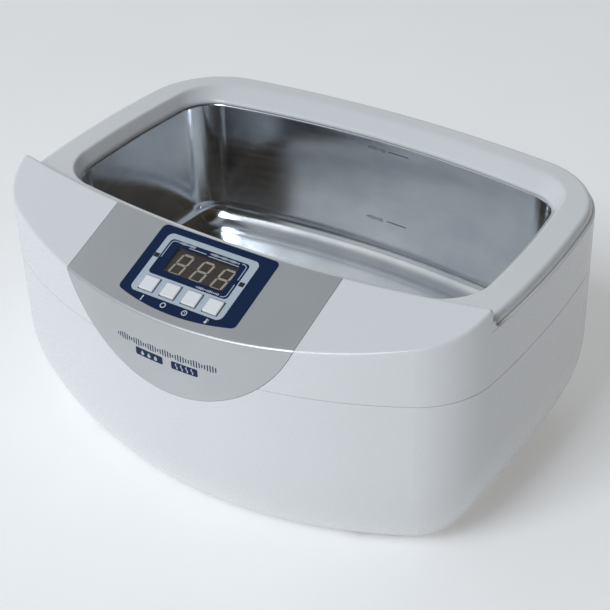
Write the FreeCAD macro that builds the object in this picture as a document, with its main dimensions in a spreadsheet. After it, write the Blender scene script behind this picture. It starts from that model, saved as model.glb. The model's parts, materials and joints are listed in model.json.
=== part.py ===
import FreeCAD, Part
import Sketcher
import math
import os
import re
from FreeCAD import Placement, Rotation, Vector

# Bench-top ultrasonic cleaner: a white two-piece housing with a sloping control panel, a stainless tank,
# two bolted transducers under the tank floor and a driver board in the front compartment.
# Millimetres, +Z up, front towards -Y, origin under the middle of the body on the surface it stands on.

doc = FreeCAD.newDocument("UltrasonicCleaner")

# ---------------------------------------------------------------- driving dimensions

SIZES = (
    # plan outline of the housing: eight tangent arcs
    ("half_width", 146.0),
    ("half_depth", 112.2),
    ("front_bow", 246.0),
    ("rear_bow", 723.0),
    ("side_bow", 538.0),
    ("front_corner", 45.0),
    ("rear_corner", 51.0),
    # housing heights and walls
    ("base_height", 4.0),
    ("seam_height", 104.0),
    ("shoulder_height", 135.4),
    ("rim_height", 140.1),
    ("rim_step", 1.5),
    ("rim_round", 3.3),
    ("shoulder_round", 0.7),
    ("ledge_curl", 5.0),
    ("wall", 3.0),
    ("base_bow", 95.0),
    ("base_bow_height", 62.0),
    ("tongue_inset", 1.75),
    ("tongue_height", 3.0),
    ("seam_groove", 0.35),
    ("seam_groove_height", 0.4),
    # sloping control panel
    ("panel_slope", 20.3),
    ("panel_front", 84.0),
    ("panel_height", 137.62),
    ("panel_crown", 3190.0),
    ("ridge_front", 60.3),
    ("ridge_bow", 690.0),
    ("ridge_end", 4.0),
    ("crease_round", 1.8),
    # silver control trim
    ("trim_half_width", 69.0),
    ("trim_bow", 75.0),
    ("trim_bow_height", 159.5),
    ("trim_thickness", 1.6),
    ("trim_gap", 0.25),
    ("aperture_half_width", 31.0),
    ("aperture_low", 18.0),
    ("aperture_high", 17.5),
    # rim opening, with an inner slope down to the tank edge
    ("opening_half_width", 128.0),
    ("opening_front", 52.5),
    ("opening_rear", 98.5),
    ("opening_front_bow", 682.0),
    ("opening_rear_bow", 620.0),
    ("opening_side_bow", 520.0),
    ("opening_corner", 29.0),
    ("mouth_half_width", 123.3),
    ("mouth_front", 47.5),
    ("mouth_rear", 88.4),
    ("mouth_front_bow", 677.0),
    ("mouth_rear_bow", 575.0),
    ("mouth_side_bow", 515.0),
    ("mouth_corner", 21.5),
    ("mouth_height", 134.0),
    ("lip_height", 132.4),
    ("edge_share", 0.2),
    # stainless tank
    ("tank_sheet", 0.8),
    ("tank_floor", 54.0),
    ("tank_draft", 3.6),
    ("tank_round", 14.0),
    ("tank_ease", 0.3),
    ("tank_edge_round", 1.2),
    ("flange_width", 9.0),
    ("gasket_width", 7.2),
    ("gasket_sheet", 0.8),
    # transducers
    ("transducer_x", 45.0),
    ("transducer_y", 20.0),
    ("horn_radius", 21.0),
    ("stack_radius", 17.5),
    ("horn_length", 14.0),
    ("electrode_sheet", 0.4),
    ("tab_width", 4.0),
    ("tab_length", 6.0),
    ("piezo_thickness", 5.0),
    ("back_mass_length", 10.0),
    ("stack_bore", 5.0),
    ("bolt_radius", 4.0),
    ("bolt_head_radius", 7.0),
    ("bolt_head_length", 4.0),
    ("bolt_socket_radius", 3.0),
    ("bolt_socket_depth", 2.5),
    ("bolt_grip", 8.0),
    # heater, cutout and sensor under the tank
    ("heater_half_length", 95.0),
    ("heater_front", 24.0),
    ("heater_rear", 56.0),
    ("heater_sheet", 1.6),
    ("heater_hole", 23.0),
    ("cutout_y", 20.0),
    ("cutout_radius", 8.0),
    ("cutout_height", 6.0),
    ("sensor_x", 12.0),
    ("sensor_y", 63.0),
    ("sensor_half_width", 5.0),
    ("sensor_height", 5.0),
    # display and keys, along the panel
    ("label_half_width", 35.5),
    ("label_top", 23.5),
    ("label_bottom", 24.5),
    ("label_bow", 121.5),
    ("label_corner", 3.0),
    ("label_sheet", 0.5),
    ("label_sink", 0.1),
    ("fit_gap", 0.1),
    ("window_left", 24.0),
    ("window_right", 21.0),
    ("window_low", 5.0),
    ("window_high", 16.5),
    ("window_sheet", 1.5),
    ("digits_length", 37.6),
    ("digits_low", 4.9),
    ("digits_high", 13.7),
    ("board_depth", 9.8),
    ("board_sheet", 1.6),
    ("display_half_width", 40.0),
    ("display_low", 24.0),
    ("display_high", 16.5),
    ("display_screw_x", 36.0),
    ("display_screw_low", 20.5),
    ("display_screw_high", 13.0),
    ("display_screw_radius", 1.2),
    ("display_screw_head", 2.4),
    ("display_screw_head_sheet", 1.6),
    ("display_screw_tip", 5.5),
    ("display_post_radius", 3.0),
    ("key_width", 8.6),
    ("key_length", 8.2),
    ("key_pitch", 13.0),
    ("key_offset", 1.0),
    ("key_row", 12.3),
    ("key_height", 0.9),
    ("key_gap", 0.3),
    ("key_flange", 1.0),
    ("key_flange_top", 1.9),
    ("key_flange_sheet", 1.0),
    ("key_stem_radius", 2.0),
    ("key_stem_bottom", 5.7),
    ("key_round", 0.6),
    ("plunger_radius", 1.7),
    ("plunger_bottom", 6.9),
    ("switch_half_width", 3.0),
    ("switch_top", 6.3),
    ("switch_bore_bottom", 8.3),
    # driver board in the front compartment
    ("driver_half_width", 75.0),
    ("driver_front", 75.0),
    ("driver_bottom", 22.0),
    ("driver_top", 97.0),
    ("post_half_depth", 4.0),
    ("post_width", 6.0),
    ("post_overlap", 2.0),
    # parts on the driver board
    ("sink_left", 62.0),
    ("sink_right", 4.0),
    ("sink_bottom", 32.0),
    ("sink_top", 72.0),
    ("sink_leg", 3.0),
    ("sink_plate_near", 5.0),
    ("sink_plate_far", 8.0),
    ("sink_reach", 17.0),
    ("fin_sheet", 1.6),
    ("fin_count", 8),
    ("transistor_left", 54.0),
    ("transistor_right", 28.0),
    ("transistor_width", 15.0),
    ("transistor_bottom", 42.0),
    ("transistor_height", 20.0),
    ("core_left", 17.0),
    ("core_near", 4.0),
    ("core_far", 16.0),
    ("core_bottom", 36.0),
    ("core_height", 30.0),
    ("core_limb", 6.0),
    ("core_slim", 2.0),
    ("core_window", 7.0),
    ("winding_gap", 0.2),
    ("winding_reach", 20.0),
    ("capacitor_left", 55.0),
    ("capacitor_right", 35.0),
    ("capacitor_radius", 8.5),
    ("capacitor_height", 66.0),
    ("capacitor_length", 20.4),
    ("relay_left", 16.0),
    ("relay_right", 40.0),
    ("relay_width", 19.0),
    ("relay_depth", 15.0),
    ("relay_bottom", 60.0),
    ("relay_height", 15.0),
    ("terminal_left", 15.0),
    ("terminal_length", 32.0),
    ("terminal_reach", 11.0),
    ("terminal_bottom", 24.0),
    ("terminal_top", 34.0),
    ("terminal_first", 20.0),
    ("terminal_pitch", 11.0),
    ("terminal_hole", 1.9),
    ("fuse_left", 20.0),
    ("fuse_length", 20.0),
    ("fuse_height", 84.0),
    ("fuse_radius", 2.6),
    # fan on the base
    ("fan_x", 93.0),
    ("fan_y", 10.0),
    ("fan_half_width", 25.0),
    ("fan_height", 15.0),
    ("fan_bore", 24.0),
    ("fan_pitch", 20.0),
    ("fan_screw_hole", 1.7),
    ("fan_screw_head", 3.0),
    ("fan_screw_radius", 1.6),
    ("fan_cup_sheet", 2.0),
    ("strut_half_width", 1.5),
    ("rotor_radius", 23.0),
    ("hub_radius", 9.0),
    ("rotor_height", 11.0),
    ("spindle_radius", 1.5),
    ("spindle_gap", 0.05),
    ("blade_sheet", 1.2),
    ("blade_angle", 38.0),
    ("blade_chord", 18.0),
    ("blade_count", 7),
    # mains inlet in a flat niche at the rear
    ("inlet_x", 32.0),
    ("inlet_z", 36.0),
    ("niche_face", 97.5),
    ("niche_half_width", 27.0),
    ("niche_half_height", 17.0),
    ("inlet_flange_half_width", 25.0),
    ("inlet_flange_half_height", 12.0),
    ("inlet_flange_sheet", 2.0),
    ("inlet_half_width", 13.7),
    ("inlet_half_height", 9.9),
    ("inlet_back", 76.0),
    ("socket_half_width", 12.0),
    ("socket_half_height", 8.0),
    ("socket_back", 81.0),
    ("socket_chamfer", 4.5),
    ("inlet_screw_x", 20.0),
    ("inlet_screw_head", 3.0),
    # slots under the fan, and louvres in the rear wall
    ("fan_slot_count", 7),
    ("fan_slot_pitch", 6.0),
    ("fan_slot_width", 3.0),
    ("fan_slot_length", 38.0),
    ("louvre_count", 7),
    ("louvre_pitch", 8.0),
    ("louvre_width", 3.0),
    ("louvre_length", 30.0),
    ("louvre_x", 34.0),
    ("louvre_z", 46.0),
    # feet and fasteners
    ("foot_boss_radius", 4.0),
    ("foot_boss_height", 10.0),
    ("foot_hole_depth", 8.0),
    ("foot_recess_radius", 3.6),
    ("foot_recess_depth", 2.0),
    ("small_hole", 1.6),
    ("small_shank", 1.5),
    ("foot_radius", 9.0),
    ("front_foot_x", 92.0),
    ("front_foot_y", 56.0),
    ("rear_foot_x", 92.0),
    ("rear_foot_y", 66.0),
    ("front_boss_x", 84.0),
    ("front_boss_y", 70.0),
    ("rear_boss_x", 70.0),
    ("rear_boss_y", 99.3),
    ("boss_radius", 4.5),
    ("boss_bottom", 60.0),
    ("screw_radius", 1.9),
    ("screw_hole", 2.0),
    ("screw_head_radius", 3.6),
    ("well_radius", 6.0),
    ("well_bore", 4.2),
)

sheet = doc.addObject("Spreadsheet::Sheet", "Sizes")
for row, (alias, value) in enumerate(SIZES, start=1):
    sheet.set(f"A{row}", alias)
    sheet.set(f"B{row}", str(value))
    sheet.setAlias(f"B{row}", alias)
doc.recompute()

ALIASES = {alias for alias, _ in SIZES}


def size(alias):
    """One driving dimension, read from the sheet."""
    return float(sheet.get(alias))


def linked(rule):
    """The expression text of a rule, with each alias pointed at the sheet."""
    return re.sub(r"[a-z_]+", lambda word: "Sizes." + word[0] if word[0] in ALIASES else word[0], rule)


# ---------------------------------------------------------------- primitives bound to the sheet

TURNS = {"x": Rotation(Vector(0, 1, 0), 90), "y": Rotation(Vector(1, 0, 0), -90), "z": Rotation()}


def place(piece, x, y, z):
    """Bind a piece's place to three rules."""
    for axis, rule in zip("xyz", (x, y, z)):
        piece.setExpression(f"Placement.Base.{axis}", linked(rule))


def block(label, xs, ys, zs):
    """A box between two rules along each axis."""
    piece = doc.addObject("Part::Box", label)
    for name, (low, high) in zip(("Length", "Width", "Height"), (xs, ys, zs)):
        piece.setExpression(name, linked(f"({high}) - ({low})"))
    place(piece, xs[0], ys[0], zs[0])
    return piece


def rod(label, radius, at, span, axis="z"):
    """A cylinder along an axis between two rules; at gives its two other coordinates."""
    piece = doc.addObject("Part::Cylinder", label)
    piece.Placement = Placement(Vector(), TURNS[axis])
    piece.setExpression("Radius", linked(radius))
    piece.setExpression("Height", linked(f"({span[1]}) - ({span[0]})"))
    start = list(at)
    start.insert("xyz".index(axis), span[0])
    place(piece, *start)
    return piece


def cone(label, low_radius, high_radius, at, span):
    """An upright cone frustum between two rules."""
    piece = doc.addObject("Part::Cone", label)
    piece.setExpression("Radius1", linked(low_radius))
    piece.setExpression("Radius2", linked(high_radius))
    piece.setExpression("Height", linked(f"({span[1]}) - ({span[0]})"))
    place(piece, *at, span[0])
    return piece


def fuse(label, *pieces):
    """Pieces joined into one solid."""
    joined = doc.addObject("Part::MultiFuse", label)
    joined.Shapes = list(pieces)
    return joined


def cut(label, base, *tools):
    """A base with every tool taken out of it."""
    result = doc.addObject("Part::Cut", label)
    result.Base = base
    result.Tool = tools[0] if len(tools) == 1 else fuse(label + "_tools", *tools)
    return result


def common(label, *pieces):
    """What the pieces share."""
    result = doc.addObject("Part::MultiCommon", label)
    result.Shapes = list(pieces)
    return result


def group(label, pieces):
    """Separate solids that share one node."""
    result = doc.addObject("Part::Compound", label)
    result.Links = list(pieces)
    return result


def shaped(label, shape):
    """A feature with a shape worked out from the sheet."""
    piece = doc.addObject("Part::Feature", label)
    piece.Shape = shape
    return piece


def rounded(label, base, radius, chosen, kind="Part::Fillet"):
    """A fillet, or a chamfer, on the edges of base that chosen accepts."""
    doc.recompute()
    result = doc.addObject(kind, label)
    result.Base = base
    width = size(radius)
    edges = enumerate(base.Shape.Edges, start=1)
    result.Edges = [(index, width, width) for index, edge in edges if chosen(edge)]
    return result


def along(axis):
    """A test for straight edges that run along an axis."""

    def chosen(edge):
        ends = edge.Vertexes
        if len(ends) < 2 or not isinstance(edge.Curve, (Part.Line, Part.LineSegment)):
            return False
        run = ends[1].Point - ends[0].Point
        return abs(abs(run.normalize().dot(axis)) - 1) < 1e-6

    return chosen


X, Y, Z = Vector(1, 0, 0), Vector(0, 1, 0), Vector(0, 0, 1)

# ---------------------------------------------------------------- sketch features bound to the sheet

# The geometry number that stands for a sketch's own origin.
ORIGIN = -1


def body(label):
    """A PartDesign body."""
    return doc.addObject("PartDesign::Body", label)


def sketch(owner, label, height):
    """A sketch on the ground plane of its own body, raised to a height that follows a rule."""
    drawing = owner.newObject("Sketcher::SketchObject", label)
    base = next(item for item in owner.Origin.OriginFeatures if item.Role == "XY_Plane")
    drawing.AttachmentSupport = [(base, "")]
    drawing.MapMode = "FlatFace"
    drawing.setExpression("AttachmentOffset.Base.z", linked(height))
    return drawing


def name_rule(drawing, constraint, name, rule):
    """Add one dimension to a sketch and bind it to a rule."""
    index = drawing.addConstraint(constraint)
    drawing.renameConstraint(index, name)
    drawing.setExpression(f"Constraints.{name}", linked(rule))


def rectangle(drawing, tag, xs, ys):
    """A rectangle between two rules along each axis."""
    corners = [Vector(0, 0, 0), Vector(1, 0, 0), Vector(1, 1, 0), Vector(0, 1, 0)]
    sides = [Part.LineSegment(corners[i], corners[(i + 1) % 4]) for i in range(4)]
    first = drawing.addGeometry(sides, False)[0]
    for i in range(4):
        drawing.addConstraint(Sketcher.Constraint("Coincident", first + i, 2, first + (i + 1) % 4, 1))
        drawing.addConstraint(Sketcher.Constraint("Vertical" if i % 2 else "Horizontal", first + i))
    name_rule(drawing, Sketcher.Constraint("DistanceX", ORIGIN, 1, first, 1, 0.0), tag + "_left", xs[0])
    name_rule(drawing, Sketcher.Constraint("DistanceY", ORIGIN, 1, first, 1, 0.0), tag + "_low", ys[0])
    name_rule(drawing, Sketcher.Constraint("DistanceX", ORIGIN, 1, first + 1, 2, 1.0), tag + "_right", xs[1])
    name_rule(drawing, Sketcher.Constraint("DistanceY", ORIGIN, 1, first + 1, 2, 1.0), tag + "_high", ys[1])


def circle(drawing, tag, at, radius):
    """A circle at a place that follows two rules."""
    ring = drawing.addGeometry(Part.Circle(Vector(0, 0, 0), Z, 1.0), False)
    name_rule(drawing, Sketcher.Constraint("Radius", ring, 1.0), tag + "_radius", radius)
    name_rule(drawing, Sketcher.Constraint("DistanceX", ORIGIN, 1, ring, 3, 0.0), tag + "_x", at[0])
    name_rule(drawing, Sketcher.Constraint("DistanceY", ORIGIN, 1, ring, 3, 0.0), tag + "_y", at[1])


def pad(owner, drawing, length):
    """Raise a sketch by a rule along its normal."""
    feature = owner.newObject("PartDesign::Pad", drawing.Name + "_pad")
    feature.Profile = drawing
    feature.setExpression("Length", linked(length))
    drawing.Visibility = False
    return feature


# ---------------------------------------------------------------- plan outlines


def touch_centre(first, first_radius, second, second_radius, radius, side):
    """Centre of a corner arc that touches two larger arcs from inside, on the given Y side."""
    reach_one = first_radius - radius
    reach_two = second_radius - radius
    gap = second - first
    distance = gap.Length
    run = (reach_one**2 - reach_two**2 + distance**2) / (2 * distance)
    rise = math.sqrt(reach_one**2 - run**2)
    middle = first + gap * (run / distance)
    across = Vector(-gap.y, gap.x, 0) * (rise / distance)
    return max(middle + across, middle - across, key=lambda point: point.x + side * point.y)


def outline(half_width, front, rear, bows, corners, inset=0.0, height=0.0):
    """A closed wire of eight tangent arcs: bowed front, rear and sides joined by round corners."""
    front_bow, rear_bow, side_bow = bows
    side_centre = Vector(half_width - side_bow, 0, 0)
    quarter = []
    for bow, reach, corner, side in ((front_bow, front, corners[0], -1), (rear_bow, rear, corners[1], 1)):
        end_centre = Vector(0, side * (reach - bow), 0)
        centre = touch_centre(end_centre, bow, side_centre, side_bow, corner, side)
        to_end = (centre - end_centre).normalize()
        to_side = (centre - side_centre).normalize()
        on_end = end_centre + to_end * (bow - inset)
        on_side = side_centre + to_side * (side_bow - inset)
        between = centre + (to_end + to_side).normalize() * (corner - inset)
        quarter.append((Vector(0, side * (reach - inset), 0), on_end, between, on_side))
    (front_mid, front_end, front_turn, front_side), (rear_mid, rear_end, rear_turn, rear_side) = quarter
    side_mid = Vector(half_width - inset, 0, 0)

    def left(point):
        return Vector(-point.x, point.y, 0)

    arcs = [
        (left(front_end), front_mid, front_end),
        (front_end, front_turn, front_side),
        (front_side, side_mid, rear_side),
        (rear_side, rear_turn, rear_end),
        (rear_end, rear_mid, left(rear_end)),
        (left(rear_end), left(rear_turn), left(rear_side)),
        (left(rear_side), left(side_mid), left(front_side)),
        (left(front_side), left(front_turn), left(front_end)),
    ]
    wire = Part.Wire([Part.Arc(*arc).toShape() for arc in arcs])
    wire.translate(Vector(0, 0, height))
    return wire


def housing_outline(inset, height):
    """The housing's plan, inset evenly."""
    return outline(
        size("half_width"),
        size("half_depth"),
        size("half_depth"),
        (size("front_bow"), size("rear_bow"), size("side_bow")),
        (size("front_corner"), size("rear_corner")),
        inset,
        height,
    )


def hole_outline(kind, inset, height, share=1.0):
    """The plan of the rim opening or of the tank mouth, inset evenly; a negative inset grows it. A share
    between 0 and 1 gives a plan between the opening and the named one."""

    def part_way(name):
        opening = size("opening_" + name)
        return opening + share * (size(f"{kind}_{name}") - opening)

    bows = (part_way("front_bow"), part_way("rear_bow"), part_way("side_bow"))
    corners = (part_way("corner"), part_way("corner"))
    return outline(part_way("half_width"), part_way("front"), part_way("rear"), bows, corners, inset, height)


def prism(wire, height):
    """A wire's face raised by a height."""
    return Part.Face(wire).extrude(Vector(0, 0, height))


def panel_placement():
    """Where the control panel lies: X across, Y up its slope, Z out of it."""
    origin = Vector(0, -size("panel_front"), size("panel_height"))
    return Placement(origin, Rotation(X, size("panel_slope")))


def below_panel(depth):
    """The space under the crowned panel surface, lowered by a depth."""
    half = size("half_width") + 20
    radius = size("panel_crown") - depth
    sag = radius - math.sqrt(radius**2 - half**2)
    reach = 200.0
    left = Vector(-half, 0, -depth - sag)
    right = Vector(half, 0, -depth - sag)
    crown = Part.Arc(left, Vector(0, 0, -depth), right).toShape()
    sides = Part.makePolygon([right, Vector(half, 0, -reach), Vector(-half, 0, -reach), left])
    profile = Part.Wire([crown] + sides.Edges)
    profile.translate(Vector(0, -reach, 0))
    solid = Part.Face(profile).extrude(Vector(0, 2 * reach, 0))
    solid.Placement = panel_placement()
    return solid


def behind_ridge(depth):
    """The tall space behind the ridge's bowed rear face, moved back by a depth."""
    radius = size("ridge_bow") - depth
    centre = Vector(0, size("ridge_bow") - size("ridge_front"), 0)
    return Part.makeCylinder(radius, 300, centre - Vector(0, 0, 50))


def walled(plan, profile):
    """A solid whose wall follows a profile of (inset, height) points: each arc of the plan turns it about
    its own centre. A profile piece has two points for a straight line and three for an arc."""
    faces = []
    for edge in plan(0.0, 0.0).Edges:
        centre = edge.Curve.Center
        start = edge.valueAt(edge.FirstParameter) - centre
        end = edge.valueAt(edge.LastParameter) - centre
        angle = math.degrees(math.atan2(start.cross(end).z, start.dot(end)))
        radius = start.Length
        outward = start * (1 / radius)
        for piece in profile:
            points = [centre + outward * (radius - inset) + Z * height for inset, height in piece]
            curve = Part.LineSegment(*points) if len(points) == 2 else Part.Arc(*points)
            faces.append(curve.toShape().revolve(centre, Z, angle))
    faces.append(Part.Face(plan(*profile[0][0])))
    faces.append(Part.Face(plan(*profile[-1][-1])))
    shell = Part.makeShell(faces)
    shell.sewShape()
    solid = Part.makeSolid(shell)
    if solid.Volume < 0:
        solid.reverse()
    return solid


def lower_form(inset, bottom):
    """The lower body from a bottom height to the seam: upright above, one large arc drawn in below."""
    level = size("base_bow_height")
    reach = size("base_bow")
    radius = reach - inset
    full = math.asin((level - bottom) / radius)

    def on_bow(angle):
        return (reach - radius * math.cos(angle), level - radius * math.sin(angle))

    bow = (on_bow(full), on_bow(full / 2), on_bow(0))
    return walled(housing_outline, [bow, (on_bow(0), (inset, size("seam_height")))])


def at_height(level):
    """A test for edges that lie at one height."""
    return lambda edge: all(abs(point.z - level) < 1e-4 for point in edge.discretize(5))


# ---------------------------------------------------------------- housing


def upper_form():
    """The upper housing before it is hollowed: the panel block in front, shoulder and rim behind."""
    seam = size("seam_height")
    top = size("rim_height")
    shoulder = size("shoulder_height")
    tall = prism(housing_outline(0, seam), 60)
    front = tall.common(below_panel(0)).cut(behind_ridge(0))
    panel_face = max(front.Faces, key=lambda face: face.CenterOfMass.z)
    uprights = list(filter(along(Z), front.Edges))
    rearmost = max(edge.CenterOfMass.y for edge in uprights)
    ends = [edge for edge in uprights if edge.CenterOfMass.y > rearmost - 0.1]
    front = front.makeFillet(size("crease_round"), panel_face.Edges + ends)
    rear = prism(housing_outline(0, seam), shoulder - seam)
    rear = rear.makeFillet(size("shoulder_round"), list(filter(at_height(shoulder), rear.Edges)))
    rim = prism(housing_outline(size("rim_step"), seam + 10), top - seam - 10)
    rim = rim.makeFillet(size("rim_round"), list(filter(at_height(top), rim.Edges)))
    rear = rear.fuse(rim).common(behind_ridge(-size("ridge_end")))
    return front.fuse(rear).fuse(ledge_curls()).removeSplitter()


def ledge_curls():
    """The round rise of the ledge beside the rim into the ridge's rear face, at both ends."""
    radius = size("ledge_curl")
    shoulder = size("shoulder_height")
    bow = size("ridge_bow")
    reach = size("half_width") - size("rim_step")
    ridge = bow - size("ridge_front") - math.sqrt(bow**2 - reach**2)
    lead_in = size("ridge_end")
    foot = Part.makeBox(2 * bow, lead_in + radius, radius, Vector(-bow, ridge - lead_in, shoulder))
    hollow = Part.makeCylinder(radius, 2 * bow, Vector(-bow, ridge + radius, shoulder + radius), X)
    ring = prism(housing_outline(0, shoulder), radius).cut(prism(housing_outline(5, shoulder), radius))
    return foot.cut(hollow).common(ring)


def mouth_cut():
    """The rim opening: straight above the rim, rounded over onto a slope, and rounded into the tank mouth."""
    top = size("rim_height")
    level = size("mouth_height")
    near = size("edge_share")
    steps = 4

    def slope_at(share):
        return top + share * (level - top)

    def rounding(start, knee, end):
        """Points on a quadratic curve of (share, height) that starts and ends in line with its knee."""
        for step in range(steps + 1):
            run = step / steps
            weights = ((1 - run) ** 2, 2 * run * (1 - run), run**2)
            yield tuple(sum(w * p[i] for w, p in zip(weights, (start, knee, end))) for i in (0, 1))

    over = rounding((-near, top), (0.0, top), (near, slope_at(near)))
    under = rounding((1 - near, slope_at(1 - near)), (1.0, level), (1.0, level - 1))
    sections = [hole_outline("mouth", 0, height, share) for share, height in (*over, *under)]
    slope = Part.makeLoft(sections, True, True)
    above = prism(hole_outline("mouth", 0, top, -near), 30)
    below = prism(hole_outline("mouth", 0, level - 20), 19)
    return above.fuse(slope).fuse(below)


def upper_cavity():
    """The hollow inside the upper housing, under the panel, the shoulder and the rim."""
    seam = size("seam_height")
    wall = size("wall")
    top = size("rim_height") - wall
    lip = size("lip_height")
    main = prism(housing_outline(wall, seam - 1), lip - seam + 1)
    ring = prism(housing_outline(size("rim_step") + size("rim_round") + wall, lip), top - lip)
    ring = ring.cut(prism(hole_outline("opening", -wall, lip - 1), 20)).common(behind_ridge(0))
    front = prism(housing_outline(wall, seam), 60).cut(behind_ridge(-wall))
    return main.fuse(ring).fuse(front).common(below_panel(wall))


def trim_region(grow):
    """Everything inside the trim's shield-shaped border, grown by a gap."""
    half = size("trim_half_width") + grow
    radius = size("trim_bow") + grow
    level = size("trim_bow_height")
    span = Part.makeBox(2 * half, 120, radius, Vector(-half, -130, level - radius))
    disc = Part.makeCylinder(radius, 120, Vector(0, -130, level), Y)
    return span.common(disc)


def trim_band(form, gap):
    """The outer skin of a form inside the trim's border, as deep as the trim is thick."""
    depth = size("trim_thickness") + gap
    core = prism(housing_outline(depth, 50), 130).common(below_panel(depth))
    return form.common(trim_region(gap)).cut(core).cut(behind_ridge(0))


def panel_block(xs, ys, zs):
    """A box given along the panel, placed on the body."""
    solid = Part.makeBox(xs[1] - xs[0], ys[1] - ys[0], zs[1] - zs[0], Vector(xs[0], ys[0], zs[0]))
    solid.Placement = panel_placement().multiply(solid.Placement)
    return solid


def panel_rod(radius, x, y, low, high):
    """A cylinder square to the panel, placed on the body."""
    solid = Part.makeCylinder(radius, high - low, Vector(x, y, low))
    solid.Placement = panel_placement().multiply(solid.Placement)
    return solid


def four(x, y):
    """Four places, mirrored in X and Y."""
    return [(side * x, end * y) for side in (-1, 1) for end in (-1, 1)]


DISPLAY_CORNERS = [
    (f"{side} * display_screw_x", rule)
    for side in (-1, 1)
    for rule in ("-display_screw_low", "display_screw_high")
]

BOSSES = [
    (side * size(end + "_boss_x"), sign * size(end + "_boss_y"))
    for side in (-1, 1)
    for end, sign in (("front", -1), ("rear", 1))
]
FEET = [
    (side * size(end + "_foot_x"), sign * size(end + "_foot_y"))
    for side in (-1, 1)
    for end, sign in (("front", -1), ("rear", 1))
]

KEYS = ("on", "off", "timer", "temperature")


def upper_housing(form):
    """The upper shell with its opening, seam rebate, trim pocket, display aperture and bosses."""
    seam = size("seam_height")
    shell = form.cut(upper_cavity()).cut(mouth_cut())
    rim_top = size("rim_height")
    for x, y in BOSSES:
        boss = Part.makeCylinder(size("boss_radius"), 85, Vector(x, y, size("boss_bottom")))
        inner = below_panel(size("wall") - 0.5)
        level = prism(housing_outline(4, size("boss_bottom")), rim_top - 1.5 - size("boss_bottom"))
        reach = boss.common(inner) if y < 0 else boss.common(level)
        shell = shell.fuse(reach)
        shell = shell.cut(Part.makeCylinder(size("screw_hole"), 14, Vector(x, y, size("boss_bottom"))))
    for side in (-1, 1):
        for y in (-size("display_screw_low"), size("display_screw_high")):
            x = side * size("display_screw_x")
            post_top = -size("wall") + 0.5
            shell = shell.fuse(panel_rod(size("display_post_radius"), x, y, -size("board_depth"), post_top))
            hole = size("display_screw_radius") + size("fit_gap")
            hole_top = 0.5 - size("display_screw_tip")
            shell = shell.cut(panel_rod(hole, x, y, -size("board_depth"), hole_top))
    rebate = prism(housing_outline(size("tongue_inset") - 0.05, seam - 1), size("tongue_height") + 1.2)
    shell = shell.cut(rebate)
    shell = shell.cut(trim_band(form, size("trim_gap")))
    half = size("aperture_half_width")
    aperture = panel_block((-half, half), (-size("aperture_low"), size("aperture_high")), (-6, 3))
    return shell.cut(aperture).removeSplitter()


def slots(kind, centre, depth, upright):
    """A row of parallel slots through a wall: in the floor, or upright in the rear wall."""
    count = int(size(kind + "_count"))
    pitch = size(kind + "_pitch")
    width = size(kind + "_width")
    length = size(kind + "_length")
    tools = []
    for index in range(count):
        x = centre.x + (index - (count - 1) / 2) * pitch - width / 2
        if upright:
            tools.append(Part.makeBox(width, depth, length, Vector(x, centre.y, centre.z - length / 2)))
        else:
            tools.append(Part.makeBox(width, length, depth, Vector(x, centre.y - length / 2, centre.z)))
    return tools


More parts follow.
